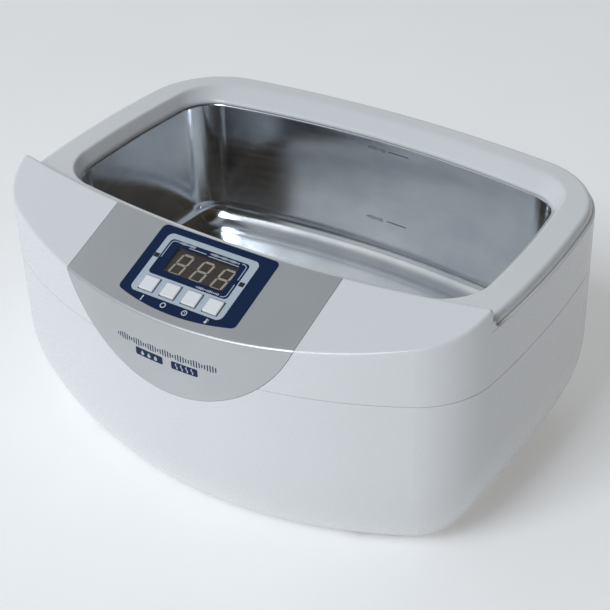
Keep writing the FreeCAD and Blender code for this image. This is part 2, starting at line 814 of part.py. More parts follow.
def lower_housing(form):
    """The lower shell with its tongue, posts, wells, inlet niche, fan slots and rear louvres."""
    base = size("base_height")
    wall = size("wall")
    seam = size("seam_height")
    floor = base + wall
    shell = form.cut(lower_form(wall, floor))
    tongue = prism(housing_outline(size("tongue_inset"), seam - 0.5), size("tongue_height") + 0.5)
    shell = shell.fuse(tongue.cut(prism(housing_outline(wall, seam - 1), size("tongue_height") + 2)))
    groove_height = size("seam_groove_height")
    groove = prism(housing_outline(-2, seam - groove_height), groove_height)
    shell = shell.cut(groove.cut(prism(housing_outline(size("seam_groove"), seam - 1), 2)))
    for x, y in BOSSES:
        well = Part.makeCylinder(size("well_radius"), size("boss_bottom") - base, Vector(x, y, base))
        shell = shell.fuse(well.common(form))
    gap = size("fit_gap")
    post_depth = size("post_half_depth")
    post_height = size("driver_top") - base
    slot_width = size("board_sheet") + 2 * gap
    middle = -size("driver_front") + size("board_sheet") / 2
    for side in (-1, 1):
        inner = side * (size("driver_half_width") - size("post_overlap"))
        left, right = sorted((inner, inner + side * size("post_width")))
        at = Vector(left, middle - post_depth, base)
        post = Part.makeBox(right - left, 2 * post_depth, post_height, at)
        low, high = sorted((side * (size("driver_half_width") + gap), inner - side))
        at = Vector(low, middle - slot_width / 2, size("driver_bottom"))
        shell = shell.fuse(post).cut(Part.makeBox(high - low, slot_width, 100, at))
    niche_low = size("inlet_z") - size("niche_half_height")
    niche_left = size("inlet_x") - size("niche_half_width")
    backing = Part.makeBox(
        2 * size("niche_half_width") + 2 * wall,
        20,
        2 * size("niche_half_height") + 2 * wall,
        Vector(niche_left - wall, size("niche_face") - wall, niche_low - wall),
    )
    shell = shell.fuse(backing.common(form))
    niche = Part.makeBox(
        2 * size("niche_half_width"),
        20,
        2 * size("niche_half_height"),
        Vector(niche_left, size("niche_face"), niche_low),
    )
    shell = shell.cut(niche)
    for x, y in FEET:
        at = Vector(x, y, base)
        shell = shell.fuse(Part.makeCylinder(size("foot_boss_radius"), size("foot_boss_height"), at))
        shell = shell.cut(Part.makeCylinder(size("small_hole"), size("foot_hole_depth"), at))
    well_depth = size("boss_bottom") - base - wall
    for x, y in BOSSES:
        shell = shell.cut(Part.makeCylinder(size("well_bore"), well_depth, Vector(x, y, base)))
        shell = shell.cut(Part.makeCylinder(size("screw_hole"), 20, Vector(x, y, size("boss_bottom") - 10)))
    under_fan = Vector(-size("fan_x"), size("fan_y"), base - 1)
    for tool in slots("fan_slot", under_fan, 6, False):
        shell = shell.cut(tool)
    louvre_middle = Vector(-size("louvre_x"), 90, size("louvre_z"))
    for tool in slots("louvre", louvre_middle, 40, True):
        shell = shell.cut(tool)
    for x, y in four(size("fan_pitch"), size("fan_pitch")):
        at = Vector(x - size("fan_x"), y + size("fan_y"), floor - 2)
        shell = shell.cut(Part.makeCylinder(size("fan_screw_hole"), 2, at))
    half_width = size("inlet_half_width") + gap
    half_height = size("inlet_half_height") + gap
    at = Vector(size("inlet_x") - half_width, size("niche_face") - 10, size("inlet_z") - half_height)
    shell = shell.cut(Part.makeBox(2 * half_width, 20, 2 * half_height, at))
    for side in (-1, 1):
        at = Vector(size("inlet_x") + side * size("inlet_screw_x"), size("niche_face") - 5, size("inlet_z"))
        shell = shell.cut(Part.makeCylinder(size("small_hole"), 10, at, Y))
    shell = shell.cut(trim_band(form, size("trim_gap")))
    return shell.removeSplitter()


upper_block = upper_form()
lower_block = lower_form(0, size("base_height"))
trim_skin = trim_band(upper_block.fuse(lower_block).removeSplitter(), 0.0)

nodes = {}
nodes["upper_housing"] = shaped("upper_housing", upper_housing(upper_block))
nodes["lower_housing"] = shaped("lower_housing", lower_housing(lower_block))

# ---------------------------------------------------------------- control panel


def on_panel(piece):
    """Lay a piece that is given along the panel onto the body."""
    piece.Placement = panel_placement()
    return piece


def label_plate(label, grow, low, high):
    """The label's outline as a plate: straight top and sides, bowed bottom, round corners."""
    plate = block(
        label + "_plate",
        (f"-label_half_width - {grow}", f"label_half_width + {grow}"),
        (f"-label_bottom - 1 - {grow}", f"label_top + {grow}"),
        (low, high),
    )
    bow = rod(label + "_bow", f"label_bow + {grow}", ("0", "label_bow - label_bottom"), (low, high))
    return rounded(label, common(label + "_blank", plate, bow), "label_corner", along(Z))


def window_block(label, grow, low, high):
    """The display window's outline as a box."""
    return block(
        label,
        (f"-window_left - {grow}", f"window_right + {grow}"),
        (f"-window_low - {grow}", f"window_high + {grow}"),
        (low, high),
    )


def key_centre(index):
    """The X and Y rules of one key's middle."""
    from_middle = index - (len(KEYS) - 1) / 2
    return (f"({from_middle}) * key_pitch - key_offset", "-key_row")


def key_rules(index, half_width, half_length):
    """The X and Y rules of a box around one key."""
    x, y = key_centre(index)
    return (
        (f"{x} - ({half_width})", f"{x} + ({half_width})"),
        (f"{y} - ({half_length})", f"{y} + ({half_length})"),
    )


def key_holes(label, low, high):
    """The four openings that the key caps stand in."""
    holes = []
    for index, name in enumerate(KEYS):
        xs, ys = key_rules(index, "key_width / 2 + key_gap", "key_length / 2 + key_gap")
        holes.append(block(f"{label}_{name}", xs, ys, (low, high)))
    return holes


overlay = cut(
    "label_overlay",
    label_plate("label_sheet_outline", "0", "-label_sink - label_sheet", "-label_sink"),
    window_block("label_window_hole", "fit_gap", "-3", "3"),
    *key_holes("label_hole", "-3", "3"),
)
nodes["label_overlay"] = on_panel(overlay)

trim_tools = fuse(
    "trim_openings",
    label_plate("trim_recess", "fit_gap", "-label_sink - label_sheet", "4"),
    window_block("trim_window_hole", "fit_gap", "-4", "3"),
    *key_holes("trim_hole", "-4", "3"),
)
nodes["control_trim"] = cut("control_trim", shaped("trim_skin", trim_skin), on_panel(trim_tools))

window = body("display_window")
window_sketch = sketch(window, "window_outline", "-label_sink - window_sheet")
rectangle(window_sketch, "window", ("-window_left", "window_right"), ("-window_low", "window_high"))
pad(window, window_sketch, "window_sheet")
nodes["display_window"] = on_panel(window)

digits = body("digit_display")
digits_sketch = sketch(digits, "digits_outline", "-board_depth")
digits_span = ("-digits_length / 2", "digits_length / 2")
rectangle(digits_sketch, "digits", digits_span, ("-digits_low", "digits_high"))
pad(digits, digits_sketch, "board_depth - key_flange_top")
nodes["digit_display"] = on_panel(digits)

display_board = body("display_board")
board_sketch = sketch(display_board, "display_board_outline", "-board_depth - board_sheet")
rectangle(
    board_sketch,
    "edge",
    ("-display_half_width", "display_half_width"),
    ("-display_low", "display_high"),
)
for corner, at in enumerate(DISPLAY_CORNERS):
    circle(board_sketch, f"hole_{corner}", at, "display_screw_radius + fit_gap")
pad(display_board, board_sketch, "board_sheet")
nodes["display_board"] = on_panel(display_board)

display_screws = []
for corner, at in enumerate(DISPLAY_CORNERS):
    under = "-board_depth - board_sheet"
    head_span = (under + " - display_screw_head_sheet", under)
    head = rod(f"display_screw_head_{corner}", "display_screw_head", at, head_span)
    shank = rod(f"display_screw_shank_{corner}", "display_screw_radius", at, (under, "-display_screw_tip"))
    display_screws.append(fuse(f"display_screw_{corner}", head, shank))
nodes["display_screws"] = on_panel(group("display_screws", display_screws))

switches = []
for index, name in enumerate(KEYS):
    xs, ys = key_rules(index, "switch_half_width", "switch_half_width")
    case = block(f"switch_case_{name}", xs, ys, ("-board_depth", "-switch_top"))
    centre = key_centre(index)
    bore = rod(f"switch_bore_{name}", "plunger_radius + fit_gap", centre, ("-switch_bore_bottom", "0"))
    switches.append(cut(f"switch_{name}", case, bore))
    plunger = rod(f"plunger_pin_{name}", "plunger_radius", centre, ("-plunger_bottom", "-key_stem_bottom"))
    nodes[f"plunger_{name}"] = on_panel(group(f"plunger_{name}", [plunger]))
    xs, ys = key_rules(index, "key_width / 2", "key_length / 2")
    cap = rounded(
        f"key_cap_{name}",
        block(f"key_blank_{name}", xs, ys, ("-key_flange_top", "key_height")),
        "key_round",
        lambda edge: edge.BoundBox.ZMax > 0.1,
    )
    xs, ys = key_rules(index, "key_width / 2 + key_flange", "key_length / 2 + key_flange")
    flange = block(f"key_flange_{name}", xs, ys, ("-key_flange_top - key_flange_sheet", "-key_flange_top"))
    stem = rod(
        f"key_stem_{name}",
        "key_stem_radius",
        centre,
        ("-key_stem_bottom", "-key_flange_top - key_flange_sheet"),
    )
    nodes[f"button_{name}"] = on_panel(fuse(f"button_{name}", cap, flange, stem))
nodes["tact_switches"] = on_panel(group("tact_switches", switches))

# ---------------------------------------------------------------- tank


def mouth_plan(inset, height):
    """The tank's plan at its mouth, inset evenly."""
    return hole_outline("mouth", inset, height)


def tank_tilt():
    """How far the tank's wall leans out from upright."""
    rise = size("lip_height") - size("gasket_sheet") - size("tank_floor")
    return math.atan((size("tank_draft") + size("tank_ease")) / rise)


def tank_form(grow, above):
    """The tank's inner form, grown evenly: drafted walls and a round floor edge, open by a height above."""
    top = size("lip_height") - size("gasket_sheet")
    floor = size("tank_floor")
    radius = size("tank_round")
    ease = size("tank_ease")
    tilt = tank_tilt()
    across, along_wall = (math.cos(tilt), math.sin(tilt))
    run = (top - floor - radius * (1 - along_wall)) / across
    centre_inset = -ease + run * along_wall + radius * across
    centre_height = floor + radius
    reach = radius + grow

    def on_round(angle):
        return (centre_inset - reach * math.sin(angle), centre_height - reach * math.cos(angle))

    turn = math.pi / 2 - tilt
    wall_top = (-ease - grow / across - above * math.tan(tilt), top + above)
    return walled(mouth_plan, [(on_round(0), on_round(turn / 2), on_round(turn)), (on_round(turn), wall_top)])


def tank_flare():
    """What the round edge between the tank's wall and its flange takes away."""
    top = size("lip_height") - size("gasket_sheet")
    radius = size("tank_edge_round")
    centre_inset = -size("tank_ease") + radius * math.tan(tank_tilt()) - radius

    def on_edge(angle):
        return (centre_inset + radius * math.cos(angle), top - radius + radius * math.sin(angle))

    low, middle, high = [on_edge(angle) for angle in (0, math.pi / 4, math.pi / 2)]
    return walled(mouth_plan, [(low, middle, high), (high, (centre_inset, top + 1))])


def tank_shell():
    """The deep-drawn tank with its flat flange."""
    gauge = size("tank_sheet")
    top = size("lip_height") - size("gasket_sheet")
    flange = prism(hole_outline("mouth", -size("flange_width"), top - gauge), gauge)
    return flange.fuse(tank_form(gauge, 0)).cut(tank_form(0, 2)).cut(tank_flare()).removeSplitter()


def tank_gasket():
    """The silicone ring between the tank flange and the lip."""
    low = size("lip_height") - size("gasket_sheet")
    ring = prism(hole_outline("mouth", -size("gasket_width"), low), size("gasket_sheet"))
    return ring.cut(prism(hole_outline("mouth", -0.6, low - 1), 3))


nodes["tank"] = shaped("tank", tank_shell())
nodes["tank_gasket"] = shaped("tank_gasket", tank_gasket())

# ---------------------------------------------------------------- transducers, heater and sensors

under_tank = "tank_floor - tank_sheet"
piezo_top = f"{under_tank} - horn_length"
levels = [piezo_top]
for thickness in ("electrode_sheet", "piezo_thickness", "electrode_sheet", "piezo_thickness"):
    levels.append(f"{levels[-1]} - {thickness}")
levels.append(f"{levels[-1]} - back_mass_length")
levels.append(f"{levels[-1]} - bolt_head_length")

horns = []
rings = []
electrodes = []
masses = []
bolts = []
for side, sign in (("left", "-1"), ("right", "1")):
    at = (f"{sign} * transducer_x", "transducer_y")
    horn = cone(f"horn_form_{side}", "stack_radius", "horn_radius", at, (piezo_top, under_tank))
    tapped_span = (piezo_top, f"{piezo_top} + bolt_grip + 1")
    tapped = rod(f"horn_bore_{side}", "bolt_radius + fit_gap", at, tapped_span)
    horns.append(cut(f"horn_{side}", horn, tapped))
    for tier, kept in enumerate((electrodes, rings, electrodes, rings)):
        span = (levels[tier + 1], levels[tier])
        disc = rod(f"disc_{side}_{tier}", "stack_radius", at, span)
        hole = rod(f"disc_hole_{side}_{tier}", "stack_bore", at, span)
        if kept is electrodes:
            tab_left = f"{at[0]} - tab_width / 2 + {tier - 1} * tab_width"
            tab = block(
                f"tab_{side}_{tier}",
                (tab_left, tab_left + " + tab_width"),
                ("transducer_y - stack_radius - tab_length", "transducer_y - stack_radius + 2"),
                span,
            )
            disc = fuse(f"disc_tab_{side}_{tier}", disc, tab)
        kept.append(cut(f"stack_{side}_{tier}", disc, hole))
    mass = rod(f"mass_form_{side}", "stack_radius", at, (levels[5], levels[4]))
    mass_hole = rod(f"mass_hole_{side}", "bolt_radius + fit_gap", at, (levels[5], levels[4]))
    masses.append(cut(f"mass_{side}", mass, mass_hole))
    head = rod(f"bolt_head_{side}", "bolt_head_radius", at, (levels[6], levels[5]))
    socket_span = (levels[6], f"{levels[6]} + bolt_socket_depth")
    socket = rod(f"bolt_socket_{side}", "bolt_socket_radius", at, socket_span)
    shank = rod(f"bolt_shank_{side}", "bolt_radius", at, (f"{levels[5]} - 0.5", f"{piezo_top} + bolt_grip"))
    bolts.append(cut(f"bolt_{side}", fuse(f"bolt_form_{side}", head, shank), socket))
nodes["transducer_horns"] = group("transducer_horns", horns)
nodes["piezo_rings"] = group("piezo_rings", rings)
nodes["transducer_electrodes"] = group("transducer_electrodes", electrodes)
nodes["transducer_back_masses"] = group("transducer_back_masses", masses)
nodes["transducer_bolts"] = group("transducer_bolts", bolts)

heater = body("heater_mat")
heater_sketch = sketch(heater, "heater_outline", f"{under_tank} - heater_sheet")
rectangle(
    heater_sketch,
    "mat",
    ("-heater_half_length", "heater_half_length"),
    ("-heater_front", "heater_rear"),
)
for side, sign in (("left", "-1"), ("right", "1")):
    circle(heater_sketch, "hole_" + side, (f"{sign} * transducer_x", "transducer_y"), "heater_hole")
pad(heater, heater_sketch, "heater_sheet")
nodes["heater_mat"] = heater

under_heater = f"{under_tank} - heater_sheet"
cutout = body("thermal_cutout")
cutout_base = sketch(cutout, "cutout_case", f"{under_heater} - cutout_height")
circle(cutout_base, "case", ("0", "cutout_y"), "cutout_radius")
pad(cutout, cutout_base, "cutout_height")
nodes["thermal_cutout"] = cutout
nodes["temperature_sensor"] = group(
    "temperature_sensor",
    [
        block(
            "sensor_bead",
            ("-sensor_x - sensor_half_width", "-sensor_x + sensor_half_width"),
            ("sensor_y - sensor_half_width", "sensor_y + sensor_half_width"),
            (f"{under_tank} - sensor_height", under_tank),
        )
    ],
)

# ---------------------------------------------------------------- driver board and its components

rear_of_board = "-driver_front + board_sheet"
nodes["driver_board"] = group(
    "driver_board",
    [
        block(
            "driver_sheet",
            ("-driver_half_width", "driver_half_width"),
            ("-driver_front", rear_of_board),
            ("driver_bottom", "driver_top"),
        )
    ],
)


def before_board(near, far):
    """The Y rules of a piece in front of the board, between two reaches from it."""
    return (f"-driver_front - ({far})", f"-driver_front - ({near})")


sink_span = ("sink_bottom", "sink_top")
sink_legs = before_board("0", "sink_plate_near + 1")
sink_plate = before_board("sink_plate_near", "sink_plate_far")
sink = [
    block("sink_base", ("-sink_left", "-sink_right"), sink_plate, sink_span),
    block("sink_leg_left", ("-sink_left", "-sink_left + sink_leg"), sink_legs, sink_span),
    block("sink_leg_right", ("-sink_right - sink_leg", "-sink_right"), sink_legs, sink_span),
]
for index in range(int(size("fin_count"))):
    left = f"-sink_left + {index} * (sink_left - sink_right - fin_sheet) / (fin_count - 1)"
    fin_depth = before_board("sink_plate_far - 1", "sink_reach")
    sink.append(block(f"sink_fin_{index}", (left, left + " + fin_sheet"), fin_depth, sink_span))
nodes["driver_heatsink"] = fuse("driver_heatsink", *sink)
transistors = []
for index, left in enumerate(("-transistor_left", "-transistor_right")):
    xs = (left, left + " + transistor_width")
    zs = ("transistor_bottom", "transistor_bottom + transistor_height")
    transistors.append(block(f"transistor_{index}", xs, before_board("0", "sink_plate_near"), zs))
nodes["power_transistors"] = group("power_transistors", transistors)

core_blank = block(
    "core_blank",
    ("core_left", "core_left + 4 * core_limb + 2 * core_window - core_slim"),
    before_board("core_near", "core_far"),
    ("core_bottom", "core_bottom + core_height"),
)
core_windows = []
right_window = "core_left + 3 * core_limb + core_window - core_slim"
for index, left in enumerate(("core_left + core_limb", right_window)):
    xs = (left, left + " + core_window")
    zs = ("core_bottom + core_limb", "core_bottom + core_height - core_limb")
    core_windows.append(block(f"core_window_{index}", xs, before_board("0", "winding_reach"), zs))
nodes["transformer_core"] = cut("transformer_core", core_blank, *core_windows)
winding_blank = block(
    "winding_blank",
    ("core_left + core_limb + winding_gap",
     "core_left + 3 * core_limb + 2 * core_window - core_slim - winding_gap"),
    before_board("0", "winding_reach"),
    ("core_bottom + core_limb + winding_gap", "core_bottom + core_height - core_limb - winding_gap"),
)
winding_hole = block(
    "winding_hole",
    ("core_left + core_limb + core_window - winding_gap",
     "core_left + 3 * core_limb + core_window - core_slim + winding_gap"),
    before_board("core_near - winding_gap", "core_far + winding_gap"),
    ("core_bottom + 4", "core_bottom + core_height - 4"),
)
nodes["transformer_winding"] = cut("transformer_winding", winding_blank, winding_hole)

capacitors = []
for index, x in enumerate(("-capacitor_left", "-capacitor_right")):
    ys = (rear_of_board, f"{rear_of_board} + capacitor_length")
    capacitors.append(rod(f"capacitor_{index}", "capacitor_radius", (x, "capacitor_height"), ys, "y"))
nodes["filter_capacitors"] = group("filter_capacitors", capacitors)
relays = []
for index, left in enumerate(("relay_left", "relay_right")):
    ys = (rear_of_board, f"{rear_of_board} + relay_depth")
    zs = ("relay_bottom", "relay_bottom + relay_height")
    relays.append(block(f"relay_{index}", (left, left + " + relay_width"), ys, zs))
nodes["relays"] = group("relays", relays)
terminal_body = block(
    "terminal_body",
    ("terminal_left", "terminal_left + terminal_length"),
    before_board("0", "terminal_reach"),
    ("terminal_bottom", "terminal_top"),
)
terminal_ways = []
for index in range(3):
    at = (f"terminal_first + {index} * terminal_pitch", "-driver_front - terminal_reach / 2")
    span = ("terminal_bottom + 4", "terminal_top + 6")
    terminal_ways.append(rod(f"terminal_way_{index}", "terminal_hole", at, span))
nodes["terminal_block"] = cut("terminal_block", terminal_body, *terminal_ways)
fuse_axis = ("-driver_front - fuse_radius - 2 * fit_gap", "fuse_height")
fuse_tube = rod("fuse_tube", "fuse_radius", fuse_axis, ("fuse_left", "fuse_left + fuse_length"), "x")
nodes["fuse"] = group("fuse", [fuse_tube])

# ---------------------------------------------------------------- fan

floor_top = "base_height + wall"
fan_low, fan_high = (floor_top, f"{floor_top} + fan_height")
fan_centre = ("-fan_x", "fan_y")
fan_case = block(
    "fan_case",
    ("-fan_x - fan_half_width", "-fan_x + fan_half_width"),
    ("fan_y - fan_half_width", "fan_y + fan_half_width"),
    (fan_low, fan_high),
)
case_tools = [rod("fan_bore_tool", "fan_bore", fan_centre, (fan_low, fan_high))]
for corner, (side, end) in enumerate(four(1, 1)):
    at = (f"-fan_x + {side} * fan_pitch", f"fan_y + {end} * fan_pitch")
    case_tools.append(rod(f"fan_hole_{corner}", "fan_screw_hole", at, (fan_low, fan_high)))
cup_span = (f"{fan_high} - fan_cup_sheet", fan_high)
cup = rod("fan_cup", "hub_radius", fan_centre, cup_span)
long_x = ("-fan_x - fan_bore - 0.5", "-fan_x + fan_bore + 0.5")
long_y = ("fan_y - fan_bore - 0.5", "fan_y + fan_bore + 0.5")
thin_x = ("-fan_x - strut_half_width", "-fan_x + strut_half_width")
thin_y = ("fan_y - strut_half_width", "fan_y + strut_half_width")
struts = [
    block("fan_strut_x", long_x, thin_y, cup_span),
    block("fan_strut_y", thin_x, long_y, cup_span),
]
bearing_span = (f"{fan_high} - fan_cup_sheet - 1", f"{fan_high} + 1")
bearing = rod("fan_bearing", "spindle_radius + spindle_gap", fan_centre, bearing_span)
frame_form = fuse("fan_form", cut("fan_ring", fan_case, *case_tools), cup, *struts)
nodes["fan_frame"] = cut("fan_frame", frame_form, bearing)

rotor_low = f"{floor_top} + 1"
rotor_high = f"{rotor_low} + rotor_height"
hub = rod("rotor_hub", "hub_radius", fan_centre, (rotor_low, rotor_high))
spindle = rod("rotor_spindle", "spindle_radius", fan_centre, (rotor_high, f"{fan_high} - 0.4"))
envelope = rod("rotor_envelope", "rotor_radius", fan_centre, (rotor_low, rotor_high))


def rotor_blades():
    """Flat pitched blades around the hub, longer than the rotor's reach."""
    middle = size("base_height") + size("wall") + 1 + size("rotor_height") / 2
    centre = Vector(-size("fan_x"), size("fan_y"), middle)
    inner = size("hub_radius") - 1
    length = size("rotor_radius")
    chord = size("blade_chord")
    count = int(size("blade_count"))
    blades = []
    for index in range(count):
        at = Vector(inner, -chord / 2, -size("blade_sheet") / 2)
        blade = Part.makeBox(length, chord, size("blade_sheet"), at)
        blade.rotate(Vector(), X, size("blade_angle"))
        blade.rotate(Vector(), Z, index * 360 / count)
        blade.translate(centre)
        blades.append(blade)
    return Part.makeCompound(blades)


blades = common("rotor_blades", shaped("rotor_blade_forms", rotor_blades()), envelope)
nodes["fan_rotor"] = fuse("fan_rotor", hub, spindle, blades)

fan_screws = []
for corner, (side, end) in enumerate(four(1, 1)):
    at = (f"-fan_x + {side} * fan_pitch", f"fan_y + {end} * fan_pitch")
    head = rod(f"fan_screw_head_{corner}", "fan_screw_head", at, (fan_high, f"{fan_high} + 2"))
    shank = rod(f"fan_screw_shank_{corner}", "fan_screw_radius", at, (f"{floor_top} - 1.8", fan_high))
    fan_screws.append(fuse(f"fan_screw_{corner}", head, shank))
nodes["fan_screws"] = group("fan_screws", fan_screws)

# ---------------------------------------------------------------- mains inlet

inlet_flange = block(
    "inlet_flange",
    ("inlet_x - inlet_flange_half_width", "inlet_x + inlet_flange_half_width"),
    ("niche_face", "niche_face + inlet_flange_sheet"),
    ("inlet_z - inlet_flange_half_height", "inlet_z + inlet_flange_half_height"),
)
inlet_body = block(
    "inlet_body",
    ("inlet_x - inlet_half_width", "inlet_x + inlet_half_width"),
    ("inlet_back", "niche_face + 1"),
    ("inlet_z - inlet_half_height", "inlet_z + inlet_half_height"),
)
socket_blank = block(
    "socket_blank",
    ("inlet_x - socket_half_width", "inlet_x + socket_half_width"),
    ("socket_back", "niche_face + 10"),
    ("inlet_z - socket_half_height", "inlet_z + socket_half_height"),
)
socket = rounded(
    "socket_cavity",
    socket_blank,
    "socket_chamfer",
    lambda edge: along(Y)(edge) and edge.CenterOfMass.z > size("inlet_z"),
    "Part::Chamfer",
)
PINS = (("line", -7, -2), ("neutral", 7, -2), ("earth", 0, 3))


def inlet_pin(label, x, z):
    """One flat contact blade with its solder tab."""
    return block(
        label,
        (f"inlet_x + {x} - 1", f"inlet_x + {x} + 1"),
        ("inlet_back - 8", "niche_face - 1"),
        (f"inlet_z + {z} - 2", f"inlet_z + {z} + 2"),
    )


inlet_holes = [inlet_pin(f"pin_slot_{name}", x, z) for name, x, z in PINS]
inlet_screws = []
for side, sign in (("left", "-1"), ("right", "1")):
    at = (f"inlet_x + {sign} * inlet_screw_x", "inlet_z")
    inlet_holes.append(rod(f"inlet_hole_{side}", "small_hole", at, ("niche_face - 1", "niche_face + 5"), "y"))
    outer = "niche_face + inlet_flange_sheet"
    head = rod(f"inlet_screw_head_{side}", "inlet_screw_head", at, (outer, outer + " + 1.6"), "y")
    shank = rod(f"inlet_screw_shank_{side}", "small_shank", at, ("niche_face - 8", outer), "y")
    inlet_screws.append(fuse(f"inlet_screw_{side}", head, shank))
nodes["mains_inlet"] = cut("mains_inlet", fuse("inlet_form", inlet_flange, inlet_body), socket, *inlet_holes)
nodes["inlet_pins"] = group("inlet_pins", [inlet_pin(f"pin_{name}", x, z) for name, x, z in PINS])
nodes["inlet_screws"] = group("inlet_screws", inlet_screws)

# ---------------------------------------------------------------- feet and housing screws

feet = []
foot_screws = []
for index, (x, y) in enumerate(FEET):
    at = (f"{x}", f"{y}")
    puck = cone(f"foot_form_{index}", "foot_radius - 1", "foot_radius", at, ("0", "base_height"))
    recess = rod(f"foot_recess_{index}", "foot_recess_radius", at, ("0", "foot_recess_depth"))
    hole = rod(f"foot_hole_{index}", "small_hole", at, ("0", "base_height"))
    feet.append(cut(f"foot_{index}", puck, recess, hole))
    head = rod(f"foot_screw_head_{index}", "foot_recess_radius - 0.4", at, ("0.6", "foot_recess_depth"))
    shank = rod(f"foot_screw_shank_{index}", "small_shank", at, ("foot_recess_depth", "11"))
    foot_screws.append(fuse(f"foot_screw_{index}", head, shank))
nodes["feet"] = group("feet", feet)
nodes["foot_screws"] = group("foot_screws", foot_screws)

housing_screws = []
for index, (x, y) in enumerate(BOSSES):
    at = (f"{x}", f"{y}")
    seat = "boss_bottom - wall"
    head = rod(f"housing_screw_head_{index}", "screw_head_radius", at, (seat + " - 3", seat))
    shank = rod(f"housing_screw_shank_{index}", "screw_radius", at, (seat, "boss_bottom + 12"))
    housing_screws.append(fuse(f"housing_screw_{index}", head, shank))
nodes["housing_screws"] = group("housing_screws", housing_screws)

# ---------------------------------------------------------------- internal leads


def lead(points, radius, bend):
    """A wire of straight runs joined by tangent arcs, swept with a round section."""
    edges = []
    start = points[0]
    for before, corner, after in zip(points, points[1:], points[2:]):
        back = (before - corner).normalize()
        ahead = (after - corner).normalize()
        half_angle = back.getAngle(ahead) / 2
        trim = bend / math.tan(half_angle)
        entry = corner + back * trim
        leave = corner + ahead * trim
        centre = corner + (back + ahead).normalize() * (bend / math.sin(half_angle))
        middle = centre + (corner - centre).normalize() * bend
        edges.append(Part.LineSegment(start, entry).toShape())
        edges.append(Part.Arc(entry, middle, leave).toShape())
        start = leave
    edges.append(Part.LineSegment(start, points[-1]).toShape())
    path = Part.Wire(edges)
    run = (points[1] - points[0]).normalize()
    section = Part.Wire([Part.Circle(points[0], run, radius).toShape()])
    tube = path.makePipeShell([section], True, False)
    expected = math.pi * radius**2 * path.Length
    if abs(tube.Volume - expected) > 0.02 * expected:
        raise RuntimeError(f"a lead has volume {tube.Volume:.1f}, not {expected:.1f}")
    return tube


def leads(label, routes, radius, bend):
    """One bundle of separate leads in a node."""
    nodes[label] = shaped(label, Part.makeCompound([lead(route, radius, bend) for route in routes]))


board_back = -size("driver_front") + size("board_sheet")
tab_y = size("inlet_back") - 8
inlet_x, inlet_z = size("inlet_x"), size("inlet_z")
mains = []
for index, (_, x, z) in enumerate((PINS[0], PINS[2], PINS[1])):
    across = 12 + 4 * index
    way = 20 + 11 * index
    mains.append(
        [
            Vector(inlet_x + x, tab_y, inlet_z + z),
            Vector(inlet_x + x, tab_y - 9, inlet_z + z),
            Vector(across, 46, 11),
            Vector(across, -62, 11),
            Vector(way, -80.5, 11),
            Vector(way, -80.5, 24),
        ]
    )
leads("mains_leads", mains, 1.3, 4.0)

floor_z = size("tank_floor") - size("tank_sheet")
first_electrode = floor_z - size("horn_length") - size("electrode_sheet") / 2
second_electrode = first_electrode - size("piezo_thickness") - size("electrode_sheet")
tab_front = size("transducer_y") - size("stack_radius") - 6
drives = []
for side in (-1, 1):
    for shift, level in ((-4, first_electrode), (4, second_electrode)):
        x = side * size("transducer_x") + shift
        drives.append(
            [
                Vector(x, tab_front, level),
                Vector(x, tab_front - 12, level),
                Vector(x - side * 20, -52, 28 + shift),
                Vector(x - side * 20, board_back, 28 + shift),
            ]
        )
leads("transducer_leads", drives, 1.0, 5.0)

heat = []
for side in (-1, 1):
    heat.append(
        [
            Vector(side * 8, -size("heater_front") - 0.2, floor_z - 0.8),
            Vector(side * 8, -size("heater_front") - 8, floor_z - 1.5),
            Vector(side * 8, -60, 46),
            Vector(side * 8, board_back, 46),
        ]
    )
leads("heater_leads", heat, 0.7, 4.0)

fan_wires = []
for shift in (0, 4):
    fan_wires.append(
        [
            Vector(-size("fan_x") + size("fan_half_width"), -4 - shift, 15),
            Vector(-62 + shift, -4 - shift, 15),
            Vector(-62 + shift, -60, 15),
            Vector(-62 + shift, -60, 34),
            Vector(-62 + shift, board_back, 34),
        ]
    )
leads("fan_leads", fan_wires, 0.8, 3.0)

sensing = []
for x in (-2, 2):
    sensing.append(
        [
            Vector(x, size("cutout_y") - 8.0, floor_z - 4.6),
            Vector(x, -20, floor_z - 4.6),
            Vector(x, -58, 42),
            Vector(x, board_back, 42),
        ]
    )
sensor_x = -size("sensor_x")
sensing.append(
    [
        Vector(sensor_x, size("sensor_y") - 5, floor_z - 3),
        Vector(sensor_x, size("sensor_y") - 12, floor_z - 3),
        Vector(sensor_x, 40, 44),
        Vector(sensor_x, -56, 40),
        Vector(sensor_x, board_back, 40),
    ]
)
leads("sensor_leads", sensing, 0.7, 4.0)

nodes["display_cable"] = group(
    "display_cable",
    [block("ribbon", ("-10", "10"), ("-driver_front + 0.3", "-driver_front + 1.3"), ("driver_top", "128.9"))],
)

# ---------------------------------------------------------------- checks and files

doc.recompute()
for item in doc.Objects:
    if {"Invalid", "Error"} & set(item.State):
        raise RuntimeError(f"{item.Label} failed: {item.State}")
for node, piece in nodes.items():
    if piece.Shape.isNull() or not piece.Shape.isValid() or not piece.Shape.Solids:
        raise RuntimeError(f"{node} has no valid solid")

os.makedirs("parts", exist_ok=True)
for node, piece in nodes.items():
    piece.Label = node
    piece.Shape.exportStep(f"parts/{node}.step")
print(f"{len(nodes)} nodes written")
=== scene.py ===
"""The looks of a bench-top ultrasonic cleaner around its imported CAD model. Metres, front towards -Y."""

import json
import math

import bmesh
import bpy
from mathutils import Matrix, Vector


